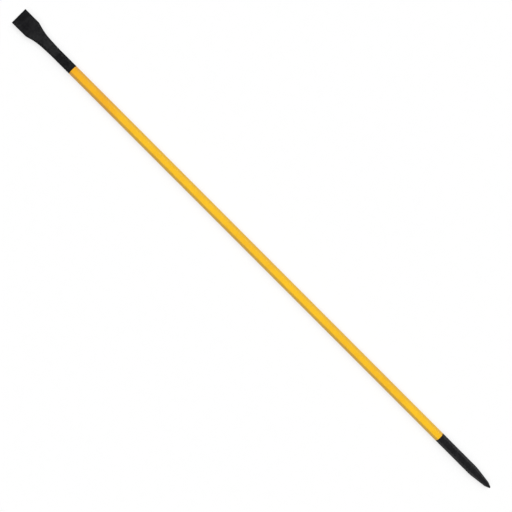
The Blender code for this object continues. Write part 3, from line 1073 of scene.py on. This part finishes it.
def make_light(name, strength, tilt, width, shows_in_gloss):
    """A round light far away, leaning from the upright by the tilt, towards +Y where that is positive."""
    light = bpy.data.lights.new(name, "SUN")
    light.energy = strength
    light.angle = width
    lamp = bpy.data.objects.new(name, light)
    lamp.visible_glossy = shows_in_gloss
    lamp.matrix_world = Matrix.Rotation(-tilt, 4, "X") @ Matrix.Translation((0, 0, LAMP_DISTANCE))
    bpy.context.scene.collection.objects.link(lamp)


def make_surroundings(studio):
    """A room that gives a little even light and is seen as white, with a dimmer ceiling above the bar."""
    world = bpy.data.worlds.new("studio_room")
    world.use_nodes = True
    tree = world.node_tree
    tree.nodes.clear()
    output = tree.nodes.new("ShaderNodeOutputWorld")
    direction = tree.nodes.new("ShaderNodeTexCoord").outputs["Generated"]
    upwards = add_node(tree, "ShaderNodeSeparateXYZ", {"Vector": direction}).outputs["Z"]
    wall_to_ceiling = (math.cos(studio.wall_angle), math.cos(studio.ceiling_angle))
    seen = ranged(tree, upwards, wall_to_ceiling, (1.0, studio.ceiling_tone))
    room = add_node(tree, "ShaderNodeBackground", {"Color": WHITE, "Strength": studio.surroundings})
    walls = add_node(tree, "ShaderNodeBackground", {"Color": WHITE, "Strength": seen})
    tree.links.new(mixed(tree, seen_directly(tree), room, walls), output.inputs["Surface"])
    bpy.context.scene.world = world


def make_camera():
    """The photograph's camera, above the bar, with the bar slanting across the picture."""
    back = (CAMERA_PLACE - CAMERA_AIM).normalized()
    right = PICTURE_UP.cross(back).normalized()
    up = back.cross(right)
    data = bpy.data.cameras.new("photograph_camera")
    data.sensor_width = SENSOR_WIDTH
    data.lens = FOCAL_PIXELS * SENSOR_WIDTH / PICTURE_PIXELS
    camera = bpy.data.objects.new("photograph_camera", data)
    turned = Matrix((right, up, back)).transposed().to_4x4()
    camera.matrix_world = Matrix.Translation(CAMERA_PLACE) @ turned
    bpy.context.scene.collection.objects.link(camera)
    bpy.context.scene.camera = camera


class DEMOLITION_BAR_OT_chisel_head(Operator):
    """Make the forged chisel head"""

    bl_idname = "demolition_bar.chisel_head"
    bl_label = "Chisel head"

    def execute(self, context):
        make_chisel_head(context.scene.demolition_bar)
        return {"FINISHED"}


class DEMOLITION_BAR_OT_shaft(Operator):
    """Make the yellow hexagonal shaft"""

    bl_idname = "demolition_bar.shaft"
    bl_label = "Shaft"

    def execute(self, context):
        make_shaft(context.scene.demolition_bar)
        return {"FINISHED"}


class DEMOLITION_BAR_OT_point_head(Operator):
    """Make the pencil point"""

    bl_idname = "demolition_bar.point_head"
    bl_label = "Point head"

    def execute(self, context):
        make_point_head(context.scene.demolition_bar)
        return {"FINISHED"}


class DEMOLITION_BAR_OT_welds(Operator):
    """Make the two rings of weld metal, ground flush and painted over"""

    bl_idname = "demolition_bar.welds"
    bl_label = "Welds"

    def execute(self, context):
        settings = context.scene.demolition_bar
        reach = nose_reach(settings.joint)
        start, end = shaft_ends(settings)
        chisel_nose, point_nose = seams(settings)
        make_weld("chisel_weld_ring", "chisel_weld", chisel_nose - reach, start, painted_shade_chisel, settings)
        make_weld("point_weld_ring", "point_weld", point_nose + reach, end, painted_point, settings)
        return {"FINISHED"}


class DEMOLITION_BAR_OT_dowels(Operator):
    """Give the two dowels their ground steel"""

    bl_idname = "demolition_bar.dowels"
    bl_label = "Dowels"

    def execute(self, context):
        steel, _ = finishes(ground_steel, context.scene.demolition_bar)
        for name in ("chisel_dowel", "point_dowel"):
            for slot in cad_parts[name].material_slots:
                slot.material = steel
        return {"FINISHED"}


class DEMOLITION_BAR_OT_studio(Operator):
    """Set up the floor, lights, surroundings and camera"""

    bl_idname = "demolition_bar.studio"
    bl_label = "Studio"

    def execute(self, context):
        studio = context.scene.demolition_bar.studio
        make_floor(studio)
        make_light("right_soft_light", studio.right_strength, studio.light_tilt, studio.light_spread, False)
        make_light("left_soft_light", studio.left_strength, -studio.light_tilt, studio.light_spread, False)
        make_light("right_gloss_light", studio.gloss_strength, studio.gloss_tilt, studio.gloss_spread, True)
        make_surroundings(studio)
        make_camera()
        context.scene.view_settings.view_transform = "Standard"
        return {"FINISHED"}


OPERATORS = (
    DEMOLITION_BAR_OT_chisel_head,
    DEMOLITION_BAR_OT_shaft,
    DEMOLITION_BAR_OT_point_head,
    DEMOLITION_BAR_OT_welds,
    DEMOLITION_BAR_OT_dowels,
    DEMOLITION_BAR_OT_studio,
)


class DEMOLITION_BAR_PT_panel(Panel):
    """List the pieces of the bar and their settings"""

    bl_idname = "DEMOLITION_BAR_PT_panel"
    bl_label = "Demolition bar"
    bl_space_type = "VIEW_3D"
    bl_region_type = "UI"
    bl_category = "Demolition bar"

    def draw(self, context):
        settings = context.scene.demolition_bar
        for operator in OPERATORS:
            self.layout.operator(operator.bl_idname)
        for group in (settings.stock, settings.chisel, settings.point, settings.joint, settings.enamel,
                      settings.studio):
            box = self.layout.box()
            for name in group.bl_rna.properties.keys():
                if name not in ("rna_type", "name"):
                    box.prop(group, name)


CLASSES = (
    StockSettings, ChiselSettings, PointSettings, JointSettings, EnamelSettings, StudioSettings,
    BarSettings, *OPERATORS, DEMOLITION_BAR_PT_panel)


def register():
    """Add the classes, and the settings to every scene."""
    for cls in CLASSES:
        bpy.utils.register_class(cls)
    bpy.types.Scene.demolition_bar = PointerProperty(type=BarSettings)


def unregister():
    """Take the settings and the classes out again."""
    del bpy.types.Scene.demolition_bar
    for cls in reversed(CLASSES):
        bpy.utils.unregister_class(cls)


def main():
    """Make the studio and all pieces."""
    register()
    bpy.ops.demolition_bar.studio()
    bpy.ops.demolition_bar.chisel_head()
    bpy.ops.demolition_bar.shaft()
    bpy.ops.demolition_bar.point_head()
    bpy.ops.demolition_bar.welds()
    bpy.ops.demolition_bar.dowels()


if __name__ == "__main__":
    main()
